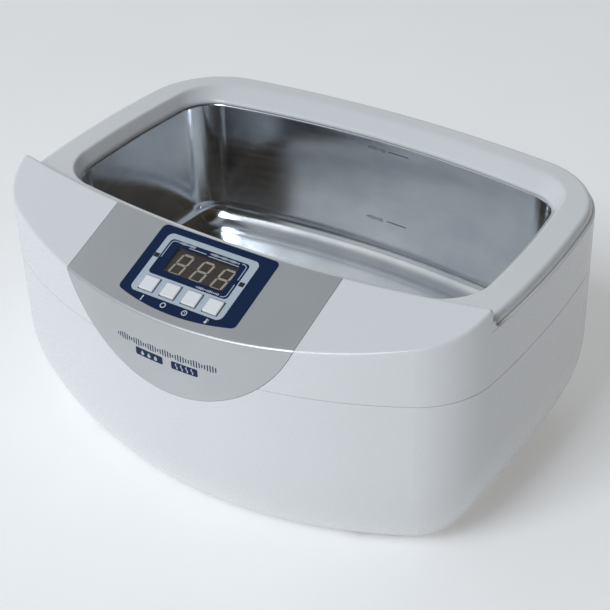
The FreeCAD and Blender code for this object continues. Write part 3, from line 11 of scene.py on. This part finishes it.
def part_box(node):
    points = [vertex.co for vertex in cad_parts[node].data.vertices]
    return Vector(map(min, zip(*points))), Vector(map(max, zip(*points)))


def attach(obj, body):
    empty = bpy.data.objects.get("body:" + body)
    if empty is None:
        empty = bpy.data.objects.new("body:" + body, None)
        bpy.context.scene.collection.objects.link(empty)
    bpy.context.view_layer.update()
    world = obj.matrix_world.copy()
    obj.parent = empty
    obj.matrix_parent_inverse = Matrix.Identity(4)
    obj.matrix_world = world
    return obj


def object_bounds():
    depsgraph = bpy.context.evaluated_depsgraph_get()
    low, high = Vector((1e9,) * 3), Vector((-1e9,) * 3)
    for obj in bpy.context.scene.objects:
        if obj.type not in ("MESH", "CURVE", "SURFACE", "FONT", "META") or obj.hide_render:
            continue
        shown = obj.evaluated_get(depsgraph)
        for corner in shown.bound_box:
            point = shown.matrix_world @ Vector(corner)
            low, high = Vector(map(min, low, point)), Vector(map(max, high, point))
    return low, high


MM = 0.001

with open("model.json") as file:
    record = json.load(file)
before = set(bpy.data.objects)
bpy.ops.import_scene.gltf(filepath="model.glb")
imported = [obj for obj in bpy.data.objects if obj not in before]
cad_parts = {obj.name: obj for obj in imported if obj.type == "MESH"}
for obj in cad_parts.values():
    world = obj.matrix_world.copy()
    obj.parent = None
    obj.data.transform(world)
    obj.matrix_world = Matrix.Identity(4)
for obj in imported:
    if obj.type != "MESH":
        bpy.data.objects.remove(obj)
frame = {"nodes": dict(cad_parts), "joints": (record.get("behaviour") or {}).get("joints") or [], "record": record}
cad_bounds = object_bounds()

# ---------------------------------------------------------------- camera, floor and light


def add_camera():
    """The camera stands to the right of the front and looks down onto the open tank."""
    azimuth = math.radians(34.86)
    elevation = math.radians(34.75)
    roll = math.radians(-2.16)
    distance = 0.859
    target = Vector((0.00547, 0.00033, 0.0728))
    level = math.cos(elevation)
    back = Vector((math.sin(azimuth) * level, -math.cos(azimuth) * level, math.sin(elevation)))
    across = Vector((0, 0, 1)).cross(back).normalized()
    upward = back.cross(across)
    right = across * math.cos(roll) + upward * math.sin(roll)
    up = upward * math.cos(roll) - across * math.sin(roll)
    data = bpy.data.cameras.new("camera")
    data.lens = 92.4
    data.sensor_width = 36.0
    camera = bpy.data.objects.new("camera", data)
    rotation = Matrix((right, up, back)).transposed().to_4x4()
    camera.matrix_world = Matrix.Translation(target + back * distance) @ rotation
    bpy.context.scene.collection.objects.link(camera)
    bpy.context.scene.camera = camera


def add_object(name, mesh):
    """A new object in the scene."""
    item = bpy.data.objects.new(name, mesh)
    bpy.context.scene.collection.objects.link(item)
    return item


def add_floor():
    """A wide, pale floor."""
    mesh = bpy.data.meshes.new("floor")
    reach = 12.0
    corners = [(-reach, -reach, 0), (reach, -reach, 0), (reach, reach, 0), (-reach, reach, 0)]
    mesh.from_pydata(corners, [], [(0, 1, 2, 3)])
    floor = add_object("floor", mesh)
    floor.data.materials.append(floor_material())


def add_area_light(name, place, aim, size, power, colour):
    """A square soft light that faces a point."""
    data = bpy.data.lights.new(name, "AREA")
    data.size = size
    data.energy = power
    data.color = colour
    light = bpy.data.objects.new(name, data)
    light.location = place
    light.rotation_euler = (Vector(aim) - Vector(place)).to_track_quat("-Z", "Y").to_euler()
    bpy.context.scene.collection.objects.link(light)


def ramp(tree, source, stops):
    """A colour that follows a value through stops of (position, colour)."""
    node = tree.nodes.new("ShaderNodeValToRGB")
    elements = node.color_ramp.elements
    while len(elements) < len(stops):
        elements.new(1.0)
    for element, (position, colour) in zip(elements, stops):
        element.position = position
        element.color = (*colour, 1)
    tree.links.new(source, node.inputs["Fac"])
    return node.outputs["Color"]


def multiply(tree, first, second):
    """The product of two colours."""
    mix = tree.nodes.new("ShaderNodeMix")
    mix.data_type = "RGBA"
    mix.blend_type = "MULTIPLY"
    mix.inputs["Factor"].default_value = 1.0
    tree.links.new(first, mix.inputs["A"])
    tree.links.new(second, mix.inputs["B"])
    return mix.outputs["Result"]


def add_world():
    """A soft studio: brightest midway up and to the left; brown and dim to the right."""
    by_height = ((0.0, (0.60, 0.67, 0.74)), (0.5, (0.98, 1.0, 1.0)),
                 (0.62, (0.98, 1.0, 1.0)), (0.85, (0.46, 0.49, 0.52)))
    by_side = ((0.02, (1, 1, 1)), (0.28, (0.075, 0.055, 0.036)))
    strength = 0.68
    backdrop = (0.95, 0.96, 0.97, 1)
    world = bpy.data.worlds.new("studio")
    bpy.context.scene.world = world
    world.use_nodes = True
    tree = world.node_tree
    tree.nodes.clear()
    direction = tree.nodes.new("ShaderNodeTexCoord")
    split = tree.nodes.new("ShaderNodeSeparateXYZ")
    tree.links.new(direction.outputs["Generated"], split.inputs[0])
    height = ramp(tree, split.outputs["Z"], by_height)
    side = ramp(tree, split.outputs["X"], by_side)
    lit = tree.nodes.new("ShaderNodeBackground")
    lit.inputs["Strength"].default_value = strength
    tree.links.new(multiply(tree, height, side), lit.inputs["Color"])
    seen = tree.nodes.new("ShaderNodeBackground")
    seen.inputs["Color"].default_value = backdrop
    path = tree.nodes.new("ShaderNodeLightPath")
    choose = tree.nodes.new("ShaderNodeMixShader")
    tree.links.new(path.outputs["Is Camera Ray"], choose.inputs[0])
    tree.links.new(lit.outputs[0], choose.inputs[1])
    tree.links.new(seen.outputs[0], choose.inputs[2])
    output = tree.nodes.new("ShaderNodeOutputWorld")
    tree.links.new(choose.outputs[0], output.inputs["Surface"])


# ---------------------------------------------------------------- materials


def new_material(name):
    """An empty node material with its shader; returns the material, its tree and the shader."""
    material = bpy.data.materials.new(name)
    material.use_nodes = True
    tree = material.node_tree
    shader = tree.nodes["Principled BSDF"]
    return material, tree, shader


def add_noise(tree, scale, detail=4.0, stretch=None):
    """Noise over the object's own coordinates, in features per metre; stretch scales each axis."""
    place = tree.nodes.new("ShaderNodeTexCoord")
    source = place.outputs["Object"]
    if stretch:
        mapping = tree.nodes.new("ShaderNodeMapping")
        mapping.inputs["Scale"].default_value = stretch
        tree.links.new(source, mapping.inputs["Vector"])
        source = mapping.outputs["Vector"]
    noise = tree.nodes.new("ShaderNodeTexNoise")
    noise.inputs["Scale"].default_value = scale
    noise.inputs["Detail"].default_value = detail
    tree.links.new(source, noise.inputs["Vector"])
    return noise.outputs["Fac"]


# Noise lies almost wholly between these two values.
NOISE_LOW, NOISE_HIGH = 0.3, 0.7


def spread(tree, source, low, high):
    """A factor spread between two values."""
    ranged = tree.nodes.new("ShaderNodeMapRange")
    ranged.inputs["From Min"].default_value = NOISE_LOW
    ranged.inputs["From Max"].default_value = NOISE_HIGH
    ranged.inputs["To Min"].default_value = low
    ranged.inputs["To Max"].default_value = high
    tree.links.new(source, ranged.inputs["Value"])
    return ranged.outputs["Result"]


def tint(tree, source, first, second):
    """A colour between two, chosen by a factor."""
    blend = tree.nodes.new("ShaderNodeValToRGB")
    low, high = blend.color_ramp.elements
    low.position, high.position = NOISE_LOW, NOISE_HIGH
    low.color = (*first, 1)
    high.color = (*second, 1)
    tree.links.new(source, blend.inputs["Fac"])
    return blend.outputs["Color"]


def bump(tree, shader, source, depth, strength=1.0):
    """Relief of a depth in metres."""
    node = tree.nodes.new("ShaderNodeBump")
    node.inputs["Strength"].default_value = strength
    node.inputs["Distance"].default_value = depth
    tree.links.new(source, node.inputs["Height"])
    tree.links.new(node.outputs["Normal"], shader.inputs["Normal"])


def moulded(name, colour, roughness, grain=900.0, depth=0.00001, vary=0.04, metallic=0.0, coat=0.0,
            stretch=None, gloss=0.5):
    """A moulded, painted or machined surface: its colour drifts a little and it has a fine grain."""
    material, tree, shader = new_material(name)
    paler = tuple(min(1.0, part * (1 + vary)) for part in colour)
    darker = tuple(part * (1 - vary) for part in colour)
    drift = add_noise(tree, 18.0)
    tree.links.new(tint(tree, drift, darker, paler), shader.inputs["Base Color"])
    fine = add_noise(tree, grain, 3.0, stretch)
    tree.links.new(spread(tree, fine, roughness * 0.88, roughness * 1.12), shader.inputs["Roughness"])
    bump(tree, shader, fine, depth)
    shader.inputs["Metallic"].default_value = metallic
    shader.inputs["Specular IOR Level"].default_value = gloss
    shader.inputs["Coat Weight"].default_value = coat
    shader.inputs["Coat Roughness"].default_value = 0.08
    return material


def floor_material():
    """Matt and nearly white, with a little light of its own so that it stays pale."""
    material = moulded("pale_floor", (0.86, 0.865, 0.87), 0.85, grain=60.0, depth=0.00001, vary=0.01)
    shader = material.node_tree.nodes["Principled BSDF"]
    shader.inputs["Emission Color"].default_value = (1.0, 0.99, 0.975, 1)
    shader.inputs["Emission Strength"].default_value = 0.20
    return material


def white_plastic_material():
    """Glossy white ABS with a cool tint and the slight waviness of a large moulding."""
    material, tree, shader = new_material("white_plastic")
    drift = add_noise(tree, 6.0, 2.0)
    tree.links.new(tint(tree, drift, (0.755, 0.762, 0.772), (0.785, 0.79, 0.80)), shader.inputs["Base Color"])
    fine = add_noise(tree, 2500.0, 3.0)
    tree.links.new(spread(tree, fine, 0.25, 0.32), shader.inputs["Roughness"])
    bump(tree, shader, fine, 0.000003)
    shader.inputs["Subsurface Weight"].default_value = 0.05
    shader.inputs["Subsurface Radius"].default_value = (0.002, 0.002, 0.003)
    shader.inputs["Subsurface Scale"].default_value = 1.0
    shader.inputs["Coat Weight"].default_value = 0.25
    shader.inputs["Coat Roughness"].default_value = 0.10
    return material


def steel_material():
    """Satin deep-drawn stainless: bluish clouding, a fine level brushing and soft waves in the sheet."""
    material, tree, shader = new_material("stainless")
    clouds = add_noise(tree, 26.0, 3.0)
    tree.links.new(tint(tree, clouds, (0.66, 0.69, 0.735), (0.82, 0.835, 0.85)), shader.inputs["Base Color"])
    brushing = add_noise(tree, 420.0, 4.0, (0.10, 0.10, 1.0))
    tree.links.new(spread(tree, brushing, 0.12, 0.17), shader.inputs["Roughness"])
    waves = add_noise(tree, 16.0, 1.5)
    bump(tree, shader, waves, 0.0008, 0.22)
    shader.inputs["Metallic"].default_value = 1.0
    return material


def clear_window_material():
    """Clear acrylic with a brown tint over the digits."""
    material, tree, shader = new_material("display_window")
    drift = add_noise(tree, 40.0)
    tree.links.new(tint(tree, drift, (0.84, 0.79, 0.74), (0.88, 0.83, 0.78)), shader.inputs["Base Color"])
    fine = add_noise(tree, 500.0)
    tree.links.new(spread(tree, fine, 0.05, 0.09), shader.inputs["Roughness"])
    shader.inputs["Transmission Weight"].default_value = 1.0
    shader.inputs["IOR"].default_value = 1.49
    return material


NAVY = (0.0045, 0.0180, 0.064)
MATERIALS = {
    "white_plastic": white_plastic_material(),
    "key_plastic": moulded("key_plastic", (0.86, 0.87, 0.89), 0.30, coat=0.2),
    "silver_trim": moulded("silver_trim", (0.56, 0.57, 0.58), 0.40, grain=2600.0, depth=0.000012,
                           metallic=0.85),
    "navy_label": moulded("navy_label", NAVY, 0.5, grain=2500.0, depth=0.000003, gloss=0.14),
    "smoked_window": clear_window_material(),
    "display_module": moulded("display_module", (0.050, 0.036, 0.027), 0.50),
    "circuit_board": moulded("circuit_board", (0.02, 0.16, 0.06), 0.42, grain=1200.0, vary=0.15),
    "plated_screws": moulded("plated_screws", (0.62, 0.62, 0.60), 0.30, metallic=1.0),
    "black_plastic": moulded("black_plastic", (0.022, 0.022, 0.024), 0.46, grain=1500.0, depth=0.00004),
    "stainless": steel_material(),
    "silicone": moulded("silicone", (0.66, 0.66, 0.64), 0.60),
    "aluminium": moulded("aluminium", (0.72, 0.73, 0.74), 0.34, grain=2200.0, metallic=1.0,
                         stretch=(1, 1, 12)),
    "piezo_ceramic": moulded("piezo_ceramic", (0.62, 0.57, 0.44), 0.62),
    "brass": moulded("brass", (0.74, 0.52, 0.22), 0.30, metallic=1.0),
    "plated_steel": moulded("plated_steel", (0.52, 0.52, 0.53), 0.32, metallic=1.0),
    "heater_silicone": moulded("heater_silicone", (0.50, 0.13, 0.05), 0.66, grain=900.0, depth=0.0001),
    "ferrite": moulded("ferrite", (0.05, 0.05, 0.055), 0.58),
    "copper_winding": moulded("copper_winding", (0.62, 0.25, 0.10), 0.35, metallic=0.8, stretch=(1, 1, 30)),
    "capacitor_sleeve": moulded("capacitor_sleeve", (0.012, 0.02, 0.07), 0.28),
    "relay_case": moulded("relay_case", (0.02, 0.07, 0.25), 0.38),
    "terminal_green": moulded("terminal_green", (0.03, 0.28, 0.10), 0.45),
    "fuse_glass": moulded("fuse_glass", (0.70, 0.75, 0.75), 0.10, coat=0.5),
    "foot_rubber": moulded("foot_rubber", (0.035, 0.035, 0.036), 0.82, grain=1300.0, depth=0.00012,
                           vary=0.12),
    "lead_insulation": moulded("lead_insulation", (0.30, 0.025, 0.02), 0.50),
    "ribbon_cable": moulded("ribbon_cable", (0.42, 0.43, 0.44), 0.55, stretch=(12, 1, 1)),
    "plunger_plastic": moulded("plunger_plastic", (0.70, 0.69, 0.64), 0.45),
}


def dress_nodes():
    """Give every carried-over CAD node the material of its slot."""
    slots = {entry["node"]: entry["material_slot"] for entry in frame["record"]["subparts"]}
    for node, item in frame["nodes"].items():
        chosen = MATERIALS[slots[node]]
        for holder in item.material_slots:
            holder.material = chosen
        if not item.material_slots:
            raise RuntimeError(f"{node} has no material slot")


# ---------------------------------------------------------------- the panel's own coordinates

press_axis = next(joint["axis"] for joint in frame["joints"] if joint["name"] == "press_on")
PANEL_OUT = -Vector(press_axis).normalized()
PANEL_ACROSS = Vector((1, 0, 0))
PANEL_UP = PANEL_OUT.cross(PANEL_ACROSS)
label_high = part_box("label_overlay")[1]
# The middle of the label's straight top edge, on its printed face.
LABEL_SHEET = 0.5 * MM
LABEL_TOP = Vector((0, label_high[1] - LABEL_SHEET * abs(PANEL_OUT.y), label_high[2]))
PRINT = 0.04 * MM
module = frame["nodes"]["digit_display"].data
MODULE_DEPTH = LABEL_TOP.dot(PANEL_OUT) - max(vertex.co.dot(PANEL_OUT) for vertex in module.vertices)


def on_label(across, down, lift=0.0):
    """A point on the label: millimetres to the right and down from the middle of its top edge."""
    return LABEL_TOP + PANEL_ACROSS * (across * MM) - PANEL_UP * (down * MM) + PANEL_OUT * lift


TRIM_RADIUS = 246.0 * MM
TRIM_FRONT = cad_bounds[0][1]


def on_front(across, height, lift=0.0):
    """A point on the trim's upright front: millimetres to the right and above the floor."""
    turn = math.asin(across * MM / TRIM_RADIUS)
    reach = TRIM_RADIUS + lift
    return Vector((reach * math.sin(turn), TRIM_FRONT + TRIM_RADIUS - reach * math.cos(turn), height * MM))


# ---------------------------------------------------------------- prints: thin raised shapes


def rectangle_points(left, right, low, high, corner=0.0, steps=5):
    """The outline of a rectangle with round corners, anticlockwise."""
    if corner <= 0:
        return [(left, low), (right, low), (right, high), (left, high)]
    points = []
    centres = ((right - corner, low + corner), (right - corner, high - corner),
               (left + corner, high - corner), (left + corner, low + corner))
    for quarter, (x, y) in enumerate(centres):
        for step in range(steps + 1):
            angle = math.pi / 2 * (quarter - 1 + step / steps)
            points.append((x + corner * math.cos(angle), y + corner * math.sin(angle)))
    return points


def ring_points(x, y, radius, count=28):
    """The outline of a disc."""
    return [(x + radius * math.cos(math.tau * i / count), y + radius * math.sin(math.tau * i / count))
            for i in range(count)]


def stroke_points(path, width):
    """The outline of a stroke along a path, square at its ends."""
    left, right = [], []
    for index, point in enumerate(path):
        before = Vector(path[max(0, index - 1)])
        after = Vector(path[min(len(path) - 1, index + 1)])
        run = (after - before).normalized()
        across = Vector((-run.y, run.x)) * (width / 2)
        left.append(tuple(Vector(point) + across))
        right.append(tuple(Vector(point) - across))
    return right + left[::-1]


def flat_mesh(outlines):
    """Closed plates between heights 0 and 1; an outline inside another one is its hole."""
    curve = bpy.data.curves.new("outlines", "CURVE")
    curve.dimensions = "2D"
    curve.fill_mode = "BOTH"
    curve.extrude = 0.5
    for outline in outlines:
        spline = curve.splines.new("POLY")
        spline.points.add(len(outline) - 1)
        for point, (x, y) in zip(spline.points, outline):
            point.co = (x, y, 0, 1)
        spline.use_cyclic_u = True
    holder = bpy.data.objects.new("outlines", curve)
    bpy.context.scene.collection.objects.link(holder)
    mesh = bpy.data.meshes.new_from_object(holder.evaluated_get(bpy.context.evaluated_depsgraph_get()))
    bpy.data.objects.remove(holder)
    bpy.data.curves.remove(curve)
    return mesh


def add_print(name, outlines, place, material, body="root", strip=0.0):
    """Print outlines as thin raised plates; strip is the widest flat piece where the surface is curved."""
    flat = flat_mesh(outlines)
    mesh = bmesh.new()
    mesh.from_mesh(flat)
    bpy.data.meshes.remove(flat)
    bmesh.ops.remove_doubles(mesh, verts=mesh.verts, dist=1e-4)
    if strip:
        first = math.floor(min(vertex.co.x for vertex in mesh.verts) / strip)
        last = math.ceil(max(vertex.co.x for vertex in mesh.verts) / strip)
        for index in range(first, last + 1):
            parts = list(mesh.verts) + list(mesh.edges) + list(mesh.faces)
            line = (index * strip, 0, 0)
            bmesh.ops.bisect_plane(mesh, geom=parts, plane_co=line, plane_no=(1, 0, 0))
    for vertex in mesh.verts:
        vertex.co = place(vertex.co.x, vertex.co.y, (vertex.co.z + 0.5) * PRINT)
    bmesh.ops.recalc_face_normals(mesh, faces=mesh.faces)
    data = bpy.data.meshes.new(name)
    mesh.to_mesh(data)
    mesh.free()
    data.materials.append(material)
    item = add_object(name, data)
    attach(item, body)
    return item


# The label's marks are given like the panel's own sketch: x across, v up from the keys' and window's origin.
LABEL_RISE = 23.5
FRAME_OUTER = (-29.5, 26.5, -18.4, 19.6)
DISPLAY_AREA = (-26.2, 22.2, -6.3, 16.6)
DIGIT_AREA = (-19.8, 17.6, -2.5, 12.9)
WINDOW = (-24.0, 21.0, -5.0, 16.5)
KEY_CENTRES = [(-20.5 + 13.0 * index, -12.3) for index in range(4)]
KEY_HOLE = (4.75, 4.55)


def printed(x, v, lift):
    """A point on the label's face."""
    return on_label(x, LABEL_RISE - v, lift)


def printed_twice(x, v, lift):
    """A point on a second coat of ink."""
    return on_label(x, LABEL_RISE - v, lift + PRINT if lift else 0.5 * PRINT)


def add_label_prints():
    """The label's light frame around the display and the keys, its black notches and its thin inner lines."""
    frame_ink = moulded("frame_ink", (0.47, 0.54, 0.61), 0.40, grain=1800.0)
    navy_ink = moulded("navy_ink", NAVY, 0.5, grain=2500.0, gloss=0.14)
    line_ink = moulded("line_ink", (0.42, 0.47, 0.54), 0.45, grain=1800.0)
    black_ink = moulded("black_ink", (0.004, 0.004, 0.004), 0.40, grain=1800.0)
    holes = [
        rectangle_points(x - KEY_HOLE[0], x + KEY_HOLE[0], v - KEY_HOLE[1], v + KEY_HOLE[1], 0.3)
        for x, v in KEY_CENTRES
    ]
    outlines = [rectangle_points(*FRAME_OUTER, 3.4), rectangle_points(*DISPLAY_AREA, 2.2), *holes]
    add_print("label_frame", outlines, printed, frame_ink)
    mask = [rectangle_points(WINDOW[0] + 0.05, WINDOW[1] - 0.05, WINDOW[2] + 0.05, WINDOW[3] - 0.05, 0.2),
            rectangle_points(*DIGIT_AREA, 0.8)]
    add_print("window_mask", mask, printed, navy_ink)
    notch = 4.6
    notches = [rectangle_points(x - 1.5, x + 1.5, notch - 1.3, notch + 1.3, 0.3) for x in (-27.9, 24.3)]
    add_print("label_notches", notches, printed_twice, black_ink)
    width = 0.5
    left = [(-25.0, 4.4), *arc_path(-23.0, 13.6, 2.0, 180, 90), (-21.6, 15.6)]
    right = [(17.6, 15.6), *arc_path(18.7, 13.4, 2.2, 90, 0), (20.9, 6.2)]
    low = [(20.9, 3.2), *arc_path(18.7, -3.2, 2.2, 0, -90), (17.9, -5.4)]
    rules = [[(-14.0, 14.15), (-3.4, 14.15)], [(-1.6, 13.55), (16.8, 13.55)]]
    strokes = [stroke_points(path, width) for path in (left, right, low, *rules)]
    add_print("label_lines", strokes, printed_twice, line_ink)


def digit_segments(x, y, width, height, lean):
    """Seven slanted bars of one digit, centred on a point."""
    thick = 1.2
    gap = 0.2
    half = thick / 2
    right = width / 2 - half
    top = height / 2 - half

    def across(level):
        tip, body = right - gap, right - gap - half
        return [(-tip, level), (-body, level - half), (body, level - half),
                (tip, level), (body, level + half), (-body, level + half)]

    def upright(side, low):
        foot, head = low + gap, low + top - gap
        return [(side, foot), (side + half, foot + half), (side + half, head - half),
                (side, head), (side - half, head - half), (side - half, foot + half)]

    bars = [across(level) for level in (-top, 0.0, top)]
    bars += [upright(side, low) for side in (-right, right) for low in (-top, 0.0)]
    return [[(x + px + py * lean, y + py) for px, py in bar] for bar in bars]


def add_digits():
    """Pale seven-segment digits on the face of the display module, under the window."""
    paint = moulded("segment_resin", (0.84, 0.80, 0.73), 0.55, grain=1500.0)
    lean = math.tan(math.radians(8.7))
    middle = 4.3
    bars = []
    for x in (-12.8, 0.0, 12.7):
        bars += digit_segments(x, middle, 7.4, 13.6, lean)

    def on_module(x, v, lift):
        return on_label(x, LABEL_RISE - v, lift - MODULE_DEPTH)

    add_print("digit_segments", bars, on_module, paint)


def arc_path(x, y, radius, start, end, steps=12):
    """Points along an arc, in degrees."""
    return [
        (x + radius * math.cos(math.radians(start + (end - start) * i / steps)),
         y + radius * math.sin(math.radians(start + (end - start) * i / steps)))
        for i in range(steps + 1)
    ]


def key_symbols():
    """Under each key a plain symbol: a bar for on, a ring for off, a clock face and a thermometer."""
    row = -20.9
    reach = 1.6
    line = 0.62
    on, off, clock, heat = [x + 1.1 for x, _ in KEY_CENTRES]
    shapes = [stroke_points([(on, row - reach), (on, row + reach)], line)]
    for x in (off, clock):
        shapes += [ring_points(x, row, reach), ring_points(x, row, reach - line * 0.8)]
    shapes.append(stroke_points([(clock, row + 0.75), (clock, row - 0.1), (clock + 0.55, row - 0.1)], 0.28))
    bulb = arc_path(heat, row - 0.6, 0.75, 115, 425, 20)
    stem = arc_path(heat, row + reach - 0.3, 0.32, 0, 180, 8)
    shapes.append(bulb + stem)
    for step in range(3):
        level = row + 0.2 + 0.5 * step
        shapes.append(stroke_points([(heat + 0.6, level), (heat + 1.2, level)], 0.22))
    return shapes


def wave_strokes(left, right, level, height, period, width):
    """A row of upright strokes whose length follows a beating wave."""
    count = int((right - left) / period) + 1
    strokes = []
    for index in range(count):
        x = left + index * period
        reach = height / 2 * (0.38 + 0.62 * abs(math.sin(index * 0.55)))
        strokes.append(stroke_points([(x, level - reach), (x, level + reach)], width))
    return strokes


def add_legends():
    """Small plain marks for the label's legends: above the window, under it and under the keys."""
    white_ink = moulded("white_ink", (0.66, 0.69, 0.72), 0.45, grain=1800.0)
    shapes = key_symbols()
    shapes += wave_strokes(-20.8, -11.0, 15.6, 1.5, 0.95, 0.5)
    shapes += wave_strokes(-1.2, 16.4, 15.2, 1.5, 0.95, 0.5)
    shapes += wave_strokes(3.2, 16.6, -5.0, 1.3, 0.95, 0.5)
    add_print("label_legends", shapes, printed_twice, white_ink)


def drop_points(x, y, size, steps=18):
    """A water drop."""
    round_side = arc_path(x, y - size * 0.3, size * 0.72, 150, 390, steps)
    return [(x, y + size), *round_side]


def add_front_prints():
    """On the trim's front: a wave line, a badge of water drops for the volume and a badge of heat waves."""
    ink = moulded("blue_ink", (0.012, 0.028, 0.075), 0.5, grain=1800.0, gloss=0.14)
    pale = moulded("badge_ink", (0.46, 0.49, 0.52), 0.42, grain=1800.0)
    strokes = wave_strokes(-31.5, 29.0, 108.8, 4.0, 1.55, 0.62)
    foot, head, corner = 101.0, 105.6, 0.9
    spans = ((-20.0, -2.7), (2.6, 18.3))
    badges = [rectangle_points(left, right, foot, head, corner) for left, right in spans]
    add_print("front_wave_line", strokes, on_front, ink, strip=2.0)
    add_print("front_badges", badges, on_front, ink, strip=2.0)
    marks = [drop_points(-15.6 + 4.2 * index, 103.2, 1.4) for index in range(3)]
    for index in range(4):
        x = 5.8 + index * 3.1
        path = [(x + 0.5 * math.sin(step * math.pi / 4), 101.7 + step * 0.40) for step in range(9)]
        marks.append(stroke_points(path, 0.6))

    def on_badge(x, z, lift):
        return on_front(x, z, lift + PRINT if lift else 0.5 * PRINT)

    add_print("badge_marks", marks, on_badge, pale, strip=2.0)


def rear_wall(x, z):
    """The point and the normal of the tank's rear wall at a place given in metres."""
    tank = frame["nodes"]["tank"]
    hit, point, normal, _ = tank.ray_cast(Vector((x, 0, z)), Vector((0, 1, 0)))
    if not hit:
        raise RuntimeError("no tank wall behind a fill mark")
    return point, normal


def add_fill_marks():
    """Two etched fill levels on the rear wall: a line, and beside it a small row of strokes."""
    etch = moulded("etched_steel", (0.16, 0.17, 0.19), 0.5, grain=2500.0, metallic=0.6)

    def on_wall(x, z, lift):
        point, normal = rear_wall(x * MM, z * MM)
        return point + normal * lift

    shapes = []
    half_line = 0.35
    for level in (126.0, 81.0):
        shapes.append(rectangle_points(6.0, 19.0, level - half_line, level + half_line))
        shapes += wave_strokes(-7.5, 3.5, level, 2.6, 1.15, 0.5)
    add_print("fill_marks", shapes, on_wall, etch, strip=2.0)


bpy.context.scene.view_settings.view_transform = "Standard"
add_world()
add_camera()
add_floor()
add_area_light("key_light", (-0.2, -1.75, 2.05), (0, 0, 0.08), 1.1, 36.0, (0.86, 0.93, 1.0))

dress_nodes()
add_label_prints()
add_digits()
add_legends()
add_front_prints()
add_fill_marks()
